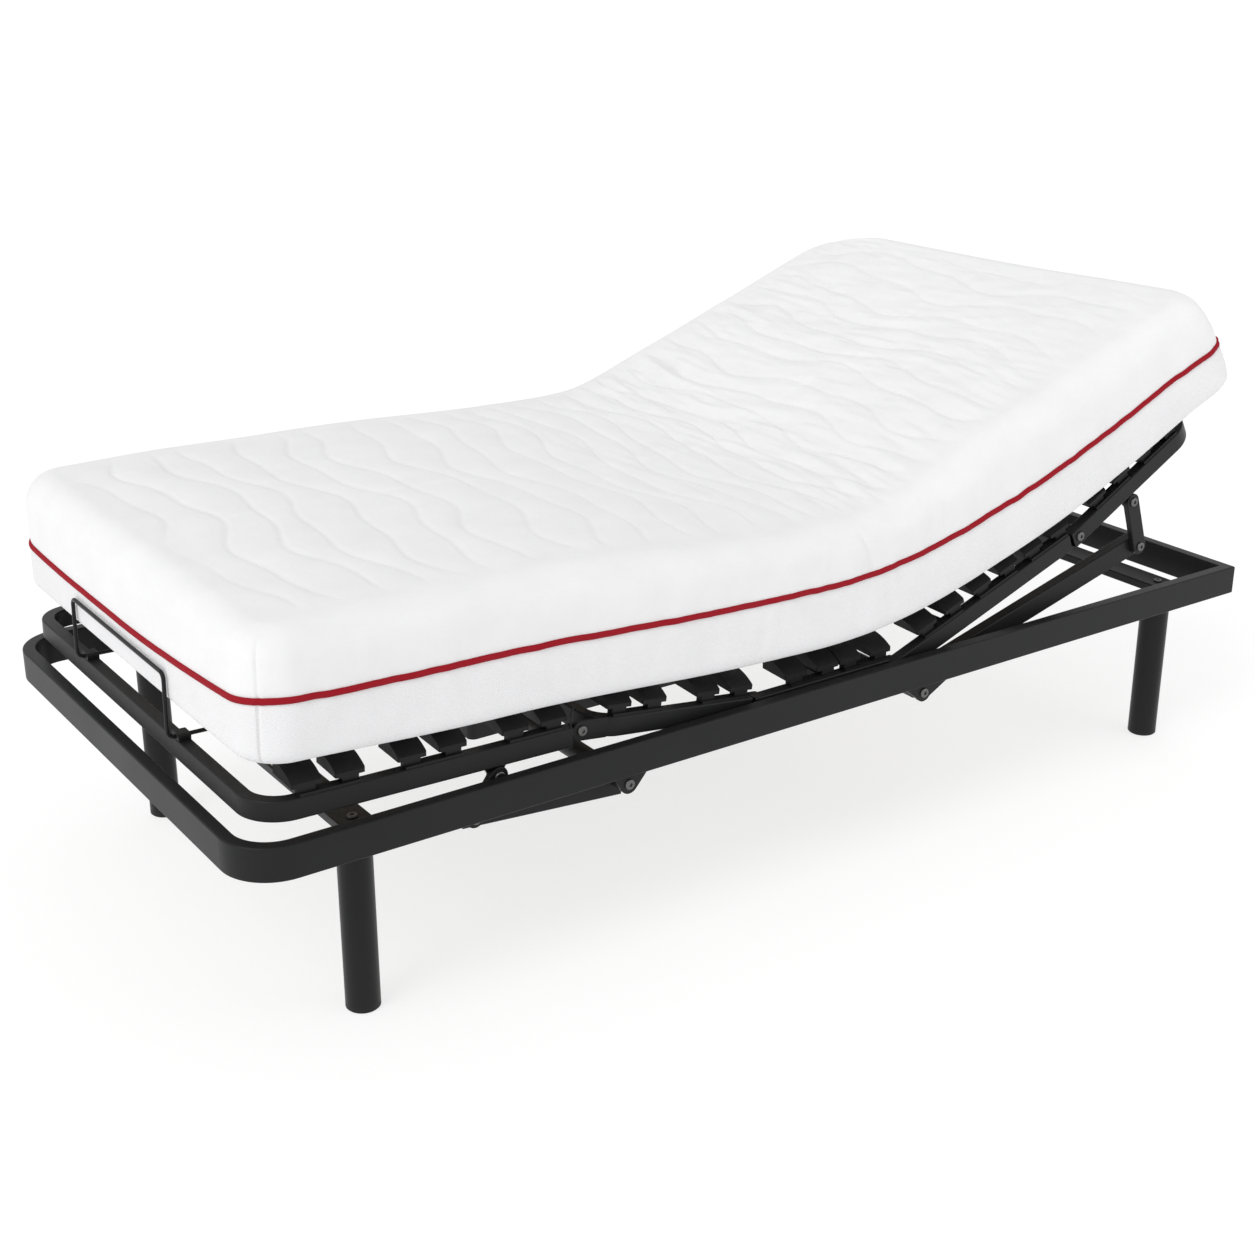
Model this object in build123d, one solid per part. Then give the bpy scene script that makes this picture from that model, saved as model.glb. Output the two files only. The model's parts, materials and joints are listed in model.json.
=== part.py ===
"""Adjustable slatted bed base: back, neck, thigh and leg sections lift over a fixed seat.

Millimetres. +X points to the head end, +Y to the sleeper's right, +Z up.
Pieces are drawn from the floor under the foot end's left corner, and write_part
moves them so that the origin lies on the floor under the middle of the main frame.
Each lifting section is drawn level, with its hinge line at the origin, and then tilted.
"""
from build123d import *
import math
import os

# Main frame
LENGTH = 1900.0
WIDTH = 900.0
RAIL_HEIGHT = 50.0
RAIL_WIDTH = 20.0
RAIL_TOP = 330.0
FOOT_CORNER_RADIUS = 75.0
FOOT_RAIL_RETURN = 80.0
TUBE_WALL = 1.5
EDGE_RADIUS = 2.5
RAIL_MIDDLE = RAIL_TOP - RAIL_HEIGHT / 2
RAIL_BOTTOM = RAIL_TOP - RAIL_HEIGHT

# Legs and crossbars
LEG_DIAMETER = 50.0
LEG_X = {"foot": 197.0, "head": 1806.0}
LEG_INSET = 90.0
CROSSBAR_WIDTH = 50.0
CROSSBAR_HEIGHT = 15.0
GLIDE_HEIGHT = 10.0

# Sections: 30 x 20 tube, hinged on the tube's middle line
TUBE_HEIGHT = 30.0
TUBE_WIDTH = 20.0
TUBE_OUTER = 26.0
TUBE_Y = TUBE_OUTER + TUBE_WIDTH / 2
TUBE_INNER = TUBE_OUTER + TUBE_WIDTH
HINGE_Z = 316.0
BACK_HINGE_Z = 311.0
LEG_DROP = 5.0
THIGH_HINGE_X = 850.0
BACK_HINGE_X = 1123.0
BACK_LENGTH = 418.0
NECK_LENGTH = 312.0
THIGH_LENGTH = 324.6
LEG_SECTION_LENGTH = 496.0
SECTION_CORNER_RADIUS = 60.0
KNEE_CORNER_RADIUS = 48.0
HINGE_LAP = 14.0
HINGE_GAP = 22.0
KNEE_EAR_Y = 30.0
KNEE_TUBE_GAP = 17.0

# Lifted positions in degrees above level
BACK_ANGLE = 20.0
NECK_ANGLE = 29.1
THIGH_ANGLE = 7.3
LEG_ANGLE = 1.4
HEAD_BAR_ANGLE = 14.9
FOOT_BAR_ANGLE = 4.6

# Lift mechanism
HEAD_PIVOT = (1159.0, 268.0)
FOOT_PIVOT = (591.0, 267.0)
HEAD_BAR_LENGTH = 530.7
BAR_HEIGHT = 35.0
BAR_WIDTH = 20.0
BAR_OUTER = 39.0
LINK_OUTER = 28.0
LINK_THICKNESS = 10.0
LINK_HALF_WIDTH = 14.0
NECK_LUG = (128.5, -31.0)
LEG_LUG = (-135.6, -30.5)
FOOT_BAR_END = (-239.0, 4.5)
FOOT_BAR_DROP = 15.0
TORQUE_RADIUS = 15.0
TORQUE_START = 22.0
BRACKET_OUTER = 4.0
BRACKET_THICKNESS = 6.0

# Bolts
BOLT_RADIUS = 5.0
PIVOT_RADIUS = 6.0
RUNNING_GAP = 0.06
HEAD_RADIUS = 8.0
HEAD_HEIGHT = 3.5
EAR_GAP = 0.5
EAR_THICKNESS = 5.0

# Slats and their holders, heights above the tube's top
SLAT_WIDTH = 35.0
SLAT_THICKNESS = 8.0
SLAT_HEIGHT = 17.0
SLAT_CAMBER = 6.0
SLAT_END = 48.0
SLAT_PITCH = 62.0
CAP_WIDTH = 43.0
HOLDERS = {
    "leg_section": (-389.0, -236.0, -76.0),
    "thigh_section": (-231.0, -72.0),
    "seat": (100.0, 207.0),
    "back_section": (108.0, 232.0, 352.0),
    "neck_section": (95.0, 218.0),
}

# Mattress, heights above the hinge line
MATTRESS_SIDE = 12.0
MATTRESS_BOTTOM = 50.0
MATTRESS_TOP = 245.0
MATTRESS_FOOT_END = -501.0
MATTRESS_HEAD_END = 392.0
MATTRESS_HEAD_SLOPE = ((392.0, 180.0), (350.0, 236.0))
FOLD_GAP = 2.0
FOLD_ANGLES = {"back": 34.8, "neck": 15.2, "thigh": 15.8}

# Mattress retainer
WIRE_RADIUS = 3.0
RETAINER_SPAN = (283.0, 632.0)
RETAINER_HEIGHT = 113.0
RETAINER_OUT = -506.0
RETAINER_TAIL = -436.0

# Drive unit
DRIVE_SPAN = (545.0, 1205.0)
DRIVE_WIDTH = 150.0
DRIVE_BOTTOM = 205.0
DRIVE_TOP = 292.0
DRIVE_SPLIT = 267.5
DRIVE_WALL = 3.0
LEVER_LENGTH = 42.0
LEVER_OFFSET = 22.0
SPINDLE_RADIUS = 5.0
SPINDLE_Z = 226.0
MIDDLE_Y = WIDTH / 2
MOTOR_X = (812.0, 938.0)
SEAT_CROSS_X = 985.0
BACK_CROSS_X = (110.0, 325.0)


# Section places: each turns (along, height) from its own hinge into the main frame

def tilt(along, height, angle):
    """A point turned by an angle that lifts the +X end."""
    cosine = math.cos(math.radians(angle))
    sine = math.sin(math.radians(angle))
    return along * cosine - height * sine, along * sine + height * cosine


def place(hinge, angle, along, height):
    """The main-frame (x, z) of a point in a tilted section."""
    x, z = tilt(along, height, angle)
    return hinge[0] + x, hinge[1] + z


SEAT_HINGE = (THIGH_HINGE_X, HINGE_Z)
BACK_HINGE = (BACK_HINGE_X, BACK_HINGE_Z)
NECK_HINGE = place(BACK_HINGE, BACK_ANGLE, BACK_LENGTH, 0)
KNEE_HINGE = place(SEAT_HINGE, -THIGH_ANGLE, -THIGH_LENGTH, 0)
NECK_LINK_TOP = place(NECK_HINGE, NECK_ANGLE, *NECK_LUG)
NECK_LINK_LOW = place(HEAD_PIVOT, HEAD_BAR_ANGLE, HEAD_BAR_LENGTH, 0)
LEG_TUBE_END = place(KNEE_HINGE, -LEG_ANGLE, 0, -LEG_DROP)
LEG_LINK_TOP = place(LEG_TUBE_END, -LEG_ANGLE, *LEG_LUG)
LEG_LINK_LOW = (FOOT_PIVOT[0] + FOOT_BAR_END[0], FOOT_PIVOT[1] + FOOT_BAR_END[1])

SECTION_PLACES = {
    "seat": (SEAT_HINGE, 0.0),
    "back_section": (BACK_HINGE, BACK_ANGLE),
    "neck_section": (NECK_HINGE, NECK_ANGLE),
    "thigh_section": (SEAT_HINGE, -THIGH_ANGLE),
    "leg_section": (LEG_TUBE_END, -LEG_ANGLE),
}


def in_section(section, shape):
    """A level shape moved to its section's hinge and tilted."""
    (x, z), angle = SECTION_PLACES[section]
    return Pos(x, 0, z) * Rot(0, -angle, 0) * shape


def write_part(node, shape):
    """Write one node, moved onto the origin."""
    moved = Pos(-LENGTH / 2, -WIDTH / 2, 0) * shape
    export_step(Compound(children=[s for s in moved.solids()]), f"parts/{node}.step")


def right_side(shape):
    """The mirror image on the right side of the bed."""
    return Pos(0, WIDTH, 0) * mirror(shape, about=Plane.XZ)


def both_sides(shape):
    """A left-hand shape together with its right-hand image."""
    return Compound(children=list(shape.solids()) + list(right_side(shape).solids()))


def group(shapes):
    """Separate solids that share one node."""
    return Compound(children=[s for shape in shapes for s in shape.solids()])


def box(x0, x1, y0, y1, z0, z1):
    """A box between two corners."""
    centre = Pos((x0 + x1) / 2, (y0 + y1) / 2, (z0 + z1) / 2)
    return centre * Box(x1 - x0, y1 - y0, z1 - z0)


def plate(sketch, y0, y1):
    """A sketch in X and Z made into a plate from y0 to y1."""
    return extrude(Plane.XZ.offset(-y0) * sketch, amount=y1 - y0, dir=(0, 1, 0))


def rod(x, y0, y1, z, radius):
    """A round bar across the bed."""
    return plate(Pos(x, z) * Circle(radius), y0, y1)


def strap(start, end, radius):
    """The outline of a flat link with round ends."""
    dx = end[0] - start[0]
    dz = end[1] - start[1]
    middle = Pos((start[0] + end[0]) / 2, (start[1] + end[1]) / 2)
    turn = Rot(0, 0, math.degrees(math.atan2(dz, dx)))
    return middle * turn * SlotCenterToCenter(math.hypot(dx, dz), 2 * radius)


# Tubes

def tube_section(width, height, radius=EDGE_RADIUS):
    """A rectangular tube's hollow section."""
    outer = RectangleRounded(width, height, radius)
    inner = RectangleRounded(width - 2 * TUBE_WALL, height - 2 * TUBE_WALL, radius - TUBE_WALL)
    return outer - inner


def tube_along(x0, x1, y, z, width=TUBE_WIDTH, height=TUBE_HEIGHT):
    """A tube along X, centred on y and z."""
    return Pos(x0, y, z) * extrude(Plane.YZ * tube_section(width, height), amount=x1 - x0)


def tube_across(x, y0, y1, z, width=TUBE_WIDTH, height=TUBE_HEIGHT):
    """A tube along Y, width in X and height in Z, centred on x and z."""
    section = Plane.XZ * tube_section(width, height)
    return Pos(x, y0, z) * extrude(section, amount=y0 - y1)


def bent_tube(points, radius, width, height):
    """A tube with round bends that starts along X."""
    path = FilletPolyline(*points, radius=radius)
    heading = 1 if points[1][0] > points[0][0] else -1
    start = Plane(origin=points[0], x_dir=(0, 1, 0), z_dir=(heading, 0, 0))
    return sweep(start * tube_section(width, height), path=path)


def end_tube(closed_x, corner_radius, heading):
    """A section's end tube with its two bends: heading is the way from the sides to the end."""
    open_x = closed_x - heading * corner_radius
    points = [
        (open_x, TUBE_Y, 0),
        (closed_x, TUBE_Y, 0),
        (closed_x, WIDTH - TUBE_Y, 0),
        (open_x, WIDTH - TUBE_Y, 0),
    ]
    return bent_tube(points, corner_radius - TUBE_WIDTH / 2, TUBE_WIDTH, TUBE_HEIGHT)


# Fasteners: drawn along Z with the head up, then laid across the bed

def bolt(length, radius=BOLT_RADIUS, head_radius=HEAD_RADIUS, nut=True):
    """A button-head bolt, its head on Z = 0, with a nut on its end."""
    head = extrude(Circle(head_radius), amount=HEAD_HEIGHT)
    head = fillet(head.edges().group_by(Axis.Z)[-1], HEAD_HEIGHT * 0.6)
    socket = Pos(0, 0, HEAD_HEIGHT - 2) * extrude(RegularPolygon(3.2, 6), amount=2)
    shank = Pos(0, 0, -length) * extrude(Circle(radius), amount=length)
    body = head - socket + shank
    if nut:
        body += Pos(0, 0, -length) * extrude(RegularPolygon(head_radius, 6), amount=5)
    return body


def cross_bolt(point, face_y, length, **options):
    """A bolt through the left side at an (x, z) point, its head against face_y."""
    return Pos(point[0], face_y, point[1]) * Rot(90, 0, 0) * bolt(length, **options)


def bored(shape, point, radius):
    """A shape with a hole across the bed at an (x, z) point."""
    return shape - rod(point[0], -50, WIDTH + 50, point[1], radius)


# Main frame

def side_rail():
    """The left rail, mitred at the head end."""
    rail = tube_along(FOOT_RAIL_RETURN, LENGTH, RAIL_WIDTH / 2, RAIL_MIDDLE, RAIL_WIDTH, RAIL_HEIGHT)
    corner = Polygon(
        (LENGTH - RAIL_WIDTH, RAIL_WIDTH), (LENGTH, 0), (LENGTH + 5, 0),
        (LENGTH + 5, RAIL_WIDTH + 5), (LENGTH - RAIL_WIDTH, RAIL_WIDTH + 5), align=None,
    )
    return rail - Pos(0, 0, RAIL_BOTTOM - 5) * extrude(corner, amount=RAIL_HEIGHT + 10)


def head_rail():
    """The head rail, mitred into both side rails."""
    x = LENGTH - RAIL_WIDTH / 2
    rail = tube_across(x, 0, WIDTH, RAIL_MIDDLE, RAIL_WIDTH, RAIL_HEIGHT)
    corner = Polygon(
        (LENGTH - RAIL_WIDTH, RAIL_WIDTH), (LENGTH - RAIL_WIDTH - 5, RAIL_WIDTH),
        (LENGTH - RAIL_WIDTH - 5, -5), (LENGTH, -5), (LENGTH, 0), align=None,
    )
    cut = Pos(0, 0, RAIL_BOTTOM - 5) * extrude(corner, amount=RAIL_HEIGHT + 10)
    return rail - cut - right_side(cut)


def foot_rail():
    """The foot rail with its two bent corners."""
    middle = RAIL_WIDTH / 2
    points = [
        (FOOT_RAIL_RETURN, middle, RAIL_MIDDLE),
        (middle, middle, RAIL_MIDDLE),
        (middle, WIDTH - middle, RAIL_MIDDLE),
        (FOOT_RAIL_RETURN, WIDTH - middle, RAIL_MIDDLE),
    ]
    return bent_tube(points, FOOT_CORNER_RADIUS - middle, RAIL_WIDTH, RAIL_HEIGHT)


def crossbar(x):
    """A flat tube between the rails, bored for the two leg bolts."""
    z = RAIL_BOTTOM + CROSSBAR_HEIGHT / 2
    bar = tube_across(x, RAIL_WIDTH, WIDTH - RAIL_WIDTH, z, CROSSBAR_WIDTH, CROSSBAR_HEIGHT)
    for y in (LEG_INSET, WIDTH - LEG_INSET):
        bar -= Pos(x, y, z) * Cylinder(BOLT_RADIUS + 0.1, CROSSBAR_HEIGHT + 10)
    return bar


def leg_tube(x, y):
    """A round leg with the top plate that bolts under a crossbar."""
    height = RAIL_BOTTOM - GLIDE_HEIGHT
    wall = 2.0
    tube = Cylinder(LEG_DIAMETER / 2, height) - Cylinder(LEG_DIAMETER / 2 - wall, height)
    cap = Pos(0, 0, height / 2 - 2) * Cylinder(LEG_DIAMETER / 2 - wall, 4)
    leg = tube + cap - Pos(0, 0, height / 2 - 2) * Cylinder(BOLT_RADIUS + 0.1, 8)
    return Pos(x, y, GLIDE_HEIGHT + height / 2) * leg


def leg_glide(x, y):
    """The plastic foot plugged into a leg."""
    foot = extrude(Circle(LEG_DIAMETER / 2), amount=GLIDE_HEIGHT)
    foot = chamfer(foot.edges().group_by(Axis.Z)[0], 2)
    plug = Pos(0, 0, GLIDE_HEIGHT) * extrude(Circle(LEG_DIAMETER / 2 - 2.2), amount=22)
    return Pos(x, y, 0) * (foot + plug)


def leg_bolt(x, y):
    """The bolt down through a crossbar into a leg's top plate."""
    return Pos(x, y, RAIL_BOTTOM + CROSSBAR_HEIGHT) * bolt(CROSSBAR_HEIGHT + 14)


def leg_places():
    """The (x, y) of each of the four legs."""
    return [(x, y) for x in LEG_X.values() for y in (LEG_INSET, WIDTH - LEG_INSET)]


def pivot_bracket(pivot, foot_reach, head_reach):
    """A plate welded under a rail, with the pivot bolt's hole."""
    x, z = pivot
    web = Polygon(
        (x - foot_reach, RAIL_BOTTOM), (x + head_reach, RAIL_BOTTOM),
        (x + 13, z - 8), (x - 13, z - 8), align=None,
    )
    outline = web + Pos(x, z) * Circle(15) - Pos(x, z) * Circle(PIVOT_RADIUS)
    low_half = Pos(x, RAIL_BOTTOM - 100) * Rectangle(400, 200)
    return plate(outline & low_half, BRACKET_OUTER, BRACKET_OUTER + BRACKET_THICKNESS)


def pivot_bolt(pivot):
    """The shouldered bolt that carries one end of a torque tube."""
    return cross_bolt(pivot, BRACKET_OUTER, 34, radius=PIVOT_RADIUS, nut=False)


# Fixed seat

def seat_tube():
    """The left seat tube, which laps over the thigh hinge and is bored for its bolt."""
    x0 = THIGH_HINGE_X - HINGE_LAP
    x1 = BACK_HINGE_X - HINGE_GAP
    return bored(tube_along(x0, x1, TUBE_Y, HINGE_Z), SEAT_HINGE, BOLT_RADIUS)


def seat_ear():
    """The plate inside the seat tube that carries the back hinge."""
    outline = strap((BACK_HINGE_X - 70, HINGE_Z), BACK_HINGE, 14)
    ear = plate(outline, TUBE_INNER + EAR_GAP, TUBE_INNER + EAR_GAP + EAR_THICKNESS)
    return bored(ear, BACK_HINGE, BOLT_RADIUS + RUNNING_GAP)


def seat_pads():
    """Spacers that weld the left seat tube to the rail."""
    places = (THIGH_HINGE_X + 40, BACK_HINGE_X - 70)
    return group(
        box(x - 22, x + 22, RAIL_WIDTH, TUBE_OUTER, HINGE_Z - 12, HINGE_Z + 10) for x in places
    )


# Hinge plates of the lifting sections

def inner_ear(start, pivot):
    """A plate on a tube's inner face, from a start point to the hinge pivot."""
    ear = plate(strap(start, pivot, 14), TUBE_INNER + EAR_GAP, TUBE_INNER + EAR_GAP + EAR_THICKNESS)
    return bored(ear, pivot, BOLT_RADIUS + RUNNING_GAP)


def hinge_bolt(point):
    """A bolt through a tube and the ear inside it."""
    return cross_bolt(point, TUBE_OUTER, TUBE_WIDTH + EAR_GAP + EAR_THICKNESS + 6.5)


def lug(point, base_half, y0=BAR_OUTER, thickness=5.0):
    """A small plate under a section tube, round at its bolt."""
    x, z = point
    outline = Polygon(
        (x - base_half, -TUBE_HEIGHT / 2), (x + base_half, -TUBE_HEIGHT / 2),
        (x + 11, z), (x - 11, z), align=None,
    )
    return bored(plate(outline + Pos(x, z) * Circle(12), y0, y0 + thickness), point, BOLT_RADIUS)


def swing_link(top, low):
    """A flat link: it turns on the bolt at its top and holds the bolt at its low end."""
    bar = plate(strap(top, low, LINK_HALF_WIDTH), LINK_OUTER, LINK_OUTER + LINK_THICKNESS)
    bar = fillet(bar.edges().group_by(Axis.Y)[0], 1.5)
    return bored(bored(bar, top, BOLT_RADIUS + RUNNING_GAP), low, BOLT_RADIUS)


def lug_bolt(point):
    """The bolt through a link and the lug behind it."""
    return cross_bolt(point, LINK_OUTER, LINK_THICKNESS + 12)


def link_end_bolt(point):
    """The short bolt held by a link's low end."""
    return cross_bolt(point, LINK_OUTER, LINK_THICKNESS, nut=False)


# Lift bars and torque tubes

def torque_tube(pivot):
    """A tube across the bed, plugged and bored at both ends for the pivot bolts."""
    x, z = pivot
    tube = rod(x, TORQUE_START, WIDTH - TORQUE_START, z, TORQUE_RADIUS)
    tube -= rod(x, TORQUE_START + 20, WIDTH - TORQUE_START - 20, z, TORQUE_RADIUS - 2)
    return bored(tube, pivot, PIVOT_RADIUS + RUNNING_GAP)


def lift_bar(pivot, angle, start, end, drop):
    """A tube arm on the left end of a torque tube, coped round it."""
    arm = tube_along(start, end, BAR_OUTER + BAR_WIDTH / 2, -drop, BAR_WIDTH, BAR_HEIGHT)
    arm = Pos(pivot[0], 0, pivot[1]) * Rot(0, -angle, 0) * arm
    return arm - rod(pivot[0], 0, 100, pivot[1], TORQUE_RADIUS)


def lever(pivot, angle, y):
    """A plate on a torque tube that the drive pushes on."""
    tip = place(pivot, angle, 0, -LEVER_LENGTH)
    outline = strap(pivot, tip, 9) + Pos(*pivot) * Circle(20)
    return bored(plate(outline, y - 3, y + 3), pivot, TORQUE_RADIUS)


def lever_pair(pivot, angle):
    """The two levers inside the drive, one each side of the spindle."""
    return group(lever(pivot, angle, MIDDLE_Y + side * LEVER_OFFSET) for side in (-1, 1))


# Slats and holders, drawn from the tube's top

def slat_outline(grow=0.0):
    """A bowed slat seen from its edge, in Y and Z."""
    y0 = SLAT_END
    y1 = WIDTH - SLAT_END
    low = SLAT_HEIGHT - grow
    high = SLAT_HEIGHT + SLAT_THICKNESS + grow
    under = ThreePointArc((y0, low), (MIDDLE_Y, low + SLAT_CAMBER), (y1, low))
    over = ThreePointArc((y1, high), (MIDDLE_Y, high + SLAT_CAMBER), (y0, high))
    return make_face([under, Line((y1, low), (y1, high)), over, Line((y0, high), (y0, low))])


def slat(width=SLAT_WIDTH, grow=0.0):
    """One slat across the bed."""
    return Pos(-width / 2, 0, 0) * extrude(Plane.YZ * slat_outline(grow), amount=width)


def holder_cap():
    """A soft cap over one slat's end: low at the tube, rising inwards."""
    front = TUBE_OUTER + 6
    back = front + 56
    top = ThreePointArc((front, 17), (front + 22, 28), (back, 33))
    ends = Polyline((back, 33), (back, 13), (front, 11), (front, 17))
    cap = Pos(-CAP_WIDTH / 2, 0, 0) * extrude(Plane.YZ * make_face([top, ends]), amount=CAP_WIDTH)
    cap = fillet(cap.edges().filter_by(Axis.Z).group_by(Axis.Y)[0], 2.5)
    return cap


def slat_holder():
    """One holder on the tube: a base strip, two pedestals and two caps."""
    half = SLAT_PITCH / 2
    body = box(-half - 12, half + 12, TUBE_OUTER + 2, TUBE_INNER - 2, 0, 4)
    pocket = slat(SLAT_WIDTH + 0.6, 0.3)
    for x in (-half, half):
        body += box(x - 12, x + 12, TUBE_OUTER + 6, TUBE_INNER - 2, 4, 12)
        body += Pos(x, 0, 0) * (holder_cap() - pocket)
    return body


def section_holders(section, holder):
    """All the holders of one section, both sides."""
    top = TUBE_HEIGHT / 2
    places = HOLDERS[section]
    left = group(Pos(x, 0, top) * holder for x in places)
    return in_section(section, both_sides(left))


def section_slats(section):
    """All the slats of one section."""
    half = SLAT_PITCH / 2
    top = TUBE_HEIGHT / 2
    places = [x + side * half for x in HOLDERS[section] for side in (-1, 1)]
    return in_section(section, group(Pos(x, 0, top) * slat() for x in places))


# Mattress retainer on the leg section

def retainer_points():
    """The wire's corners: two feet on the foot tube, two uprights and the top."""
    low = TUBE_HEIGHT / 2 + WIRE_RADIUS + 1
    y0, y1 = RETAINER_SPAN
    return [
        (RETAINER_TAIL, y0, low),
        (RETAINER_OUT, y0, low),
        (RETAINER_OUT, y0, RETAINER_HEIGHT),
        (RETAINER_OUT, y1, RETAINER_HEIGHT),
        (RETAINER_OUT, y1, low),
        (RETAINER_TAIL, y1, low),
    ]


def retainer_wire():
    """The bent wire loop at the foot end."""
    points = retainer_points()
    path = FilletPolyline(*points, radius=10)
    start = Plane(origin=points[0], x_dir=(0, 1, 0), z_dir=(-1, 0, 0))
    return sweep(start * Circle(WIRE_RADIUS), path=path)


def retainer_clip(y):
    """A saddle that holds one foot of the wire on the foot tube."""
    x = -LEG_SECTION_LENGTH + TUBE_WIDTH / 2
    top = TUBE_HEIGHT / 2
    saddle = box(x - 9, x + 9, y - 12, y + 12, top, top + 10)
    saddle = fillet(saddle.edges().filter_by(Axis.X).group_by(Axis.Z)[-1], 4)
    groove = extrude(Plane.YZ * Circle(WIRE_RADIUS + 0.1), amount=40)
    return saddle - Pos(x - 20, y, top + WIRE_RADIUS + 1) * groove


def side_stay():
    """A short upright wire beside the knee that keeps the mattress from creeping."""
    top = TUBE_HEIGHT / 2
    foot = (-19.5, TUBE_Y - 6, top + 0.2)
    points = [foot, (-19.5, TUBE_Y - 6, top + 16), (-12, TUBE_Y - 2, top + 30)]
    path = FilletPolyline(*points, radius=6)
    start = Plane(origin=foot, x_dir=(0, 1, 0), z_dir=(0, 0, 1))
    return sweep(start * Circle(1.5), path=path)


# Drive unit

def drive_shell(z0, z1, open_top):
    """Half of the drive's casing: a tray or a lid, notched for both torque tubes."""
    x0, x1 = DRIVE_SPAN
    y0 = MIDDLE_Y - DRIVE_WIDTH / 2
    y1 = MIDDLE_Y + DRIVE_WIDTH / 2
    shell = box(x0, x1, y0, y1, z0, z1)
    shell = fillet(shell.edges().filter_by(Axis.Z), 12)
    w = DRIVE_WALL
    low, high = (z0 + w, z1 + w) if open_top else (z0 - w, z1 - w)
    hollow = box(x0 + w, x1 - w, y0 + w, y1 - w, low, high)
    shell -= fillet(hollow.edges().filter_by(Axis.Z), 9)
    for pivot in (FOOT_PIVOT, HEAD_PIVOT):
        shell = bored(shell, pivot, TORQUE_RADIUS + 0.6)
    return shell


def motor(x):
    """A motor can across the drive, with its gearbox over the spindle's end."""
    z = 248.0
    can = rod(x, MIDDLE_Y - 62, MIDDLE_Y + 62, z, 24)
    gearbox = box(x - 28, x + 28, MIDDLE_Y - 20, MIDDLE_Y + 20, 214, 272)
    return can + gearbox


def spindle(x0, x1):
    """A drive screw along the bed."""
    return Pos(x0, MIDDLE_Y, SPINDLE_Z) * extrude(Plane.YZ * Circle(SPINDLE_RADIUS), amount=x1 - x0)


def thrust_block(x0, x1):
    """The nut block on a spindle that pushes both levers."""
    width = LEVER_OFFSET + 5
    block = box(x0, x1, MIDDLE_Y - width, MIDDLE_Y + width, SPINDLE_Z - 10, SPINDLE_Z + 10)
    bore = Pos(x0 - 5, MIDDLE_Y, SPINDLE_Z) * extrude(
        Plane.YZ * Circle(SPINDLE_RADIUS + RUNNING_GAP), amount=x1 - x0 + 10
    )
    return block - bore


def cable_inlet():
    """The socket where the mains lead enters the drive."""
    y = MIDDLE_Y + DRIVE_WIDTH / 2
    x = sum(DRIVE_SPAN) / 2
    collar = box(x - 16, x + 16, y, y + 8, 220, 244)
    return collar - box(x - 12, x + 12, y + 2, y + 9, 224, 240)


# Mattress blocks and the folds between them

def mattress_prism(corners):
    """A full-width mattress piece from its (x, z) corners."""
    return plate(Polygon(*corners, align=None), MATTRESS_SIDE, WIDTH - MATTRESS_SIDE)


def fold_face(section, along, sign, joint):
    """The bottom and top corners of a block's slanted end at a hinge."""
    slope = math.tan(math.radians(FOLD_ANGLES[joint]))
    hinge, angle = SECTION_PLACES[section]
    low = place(hinge, angle, along + sign * MATTRESS_BOTTOM * slope, MATTRESS_BOTTOM)
    high = place(hinge, angle, along + sign * MATTRESS_TOP * slope, MATTRESS_TOP)
    return low, high


def square_face(section, along, rise=0.0):
    """The bottom and top corners of a block's square end."""
    hinge, angle = SECTION_PLACES[section]
    low = place(hinge, angle, along, MATTRESS_BOTTOM + rise)
    return low, place(hinge, angle, along, MATTRESS_TOP + rise)


def neck_block(foot_face, head_face):
    """The neck's mattress block, sloped at its upper head edge."""
    slope = [place(NECK_HINGE, NECK_ANGLE, *corner) for corner in MATTRESS_HEAD_SLOPE]
    return mattress_prism([foot_face[0], head_face[0], *slope, foot_face[1]])


def block_between(foot_face, head_face):
    """A mattress piece between two end faces."""
    return mattress_prism([foot_face[0], head_face[0], head_face[1], foot_face[1]])


def shrunk(face, shift):
    """An end face moved along X, so that neighbours stay apart."""
    return [(x + shift, z) for x, z in face]


def mattress_pieces():
    """Every mattress block and fold by node name."""
    seat_length = BACK_HINGE_X - THIGH_HINGE_X
    ends = {
        "foot": square_face("leg_section", MATTRESS_FOOT_END, LEG_DROP),
        "leg_knee": square_face("leg_section", -FOLD_GAP, LEG_DROP),
        "thigh_knee": square_face("thigh_section", -THIGH_LENGTH + FOLD_GAP),
        "thigh_seat": fold_face("thigh_section", 0, -1, "thigh"),
        "seat_thigh": fold_face("seat", 0, 1, "thigh"),
        "seat_back": fold_face("seat", seat_length, -1, "back"),
        "back_seat": fold_face("back_section", 0, 1, "back"),
        "back_neck": fold_face("back_section", BACK_LENGTH, -1, "neck"),
        "neck_back": fold_face("neck_section", 0, 1, "neck"),
        "head": square_face("neck_section", MATTRESS_HEAD_END),
    }
    gap = 0.5
    blocks = {
        "mattress_leg": ("foot", "leg_knee"),
        "mattress_thigh": ("thigh_knee", "thigh_seat"),
        "mattress_seat": ("seat_thigh", "seat_back"),
        "mattress_back": ("back_seat", "back_neck"),
    }
    folds = {
        "mattress_fold_knee": [("leg_knee", "thigh_knee")],
        "mattress_folds_seat": [("thigh_seat", "seat_thigh"), ("seat_back", "back_seat")],
        "mattress_fold_neck": [("back_neck", "neck_back")],
    }
    pieces = {node: block_between(ends[a], ends[b]) for node, (a, b) in blocks.items()}
    pieces["mattress_neck"] = neck_block(ends["neck_back"], ends["head"])
    for node, faces in folds.items():
        pieces[node] = group(
            block_between(shrunk(ends[a], gap), shrunk(ends[b], -gap)) for a, b in faces
        )
    return pieces


# Nodes by body

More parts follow.
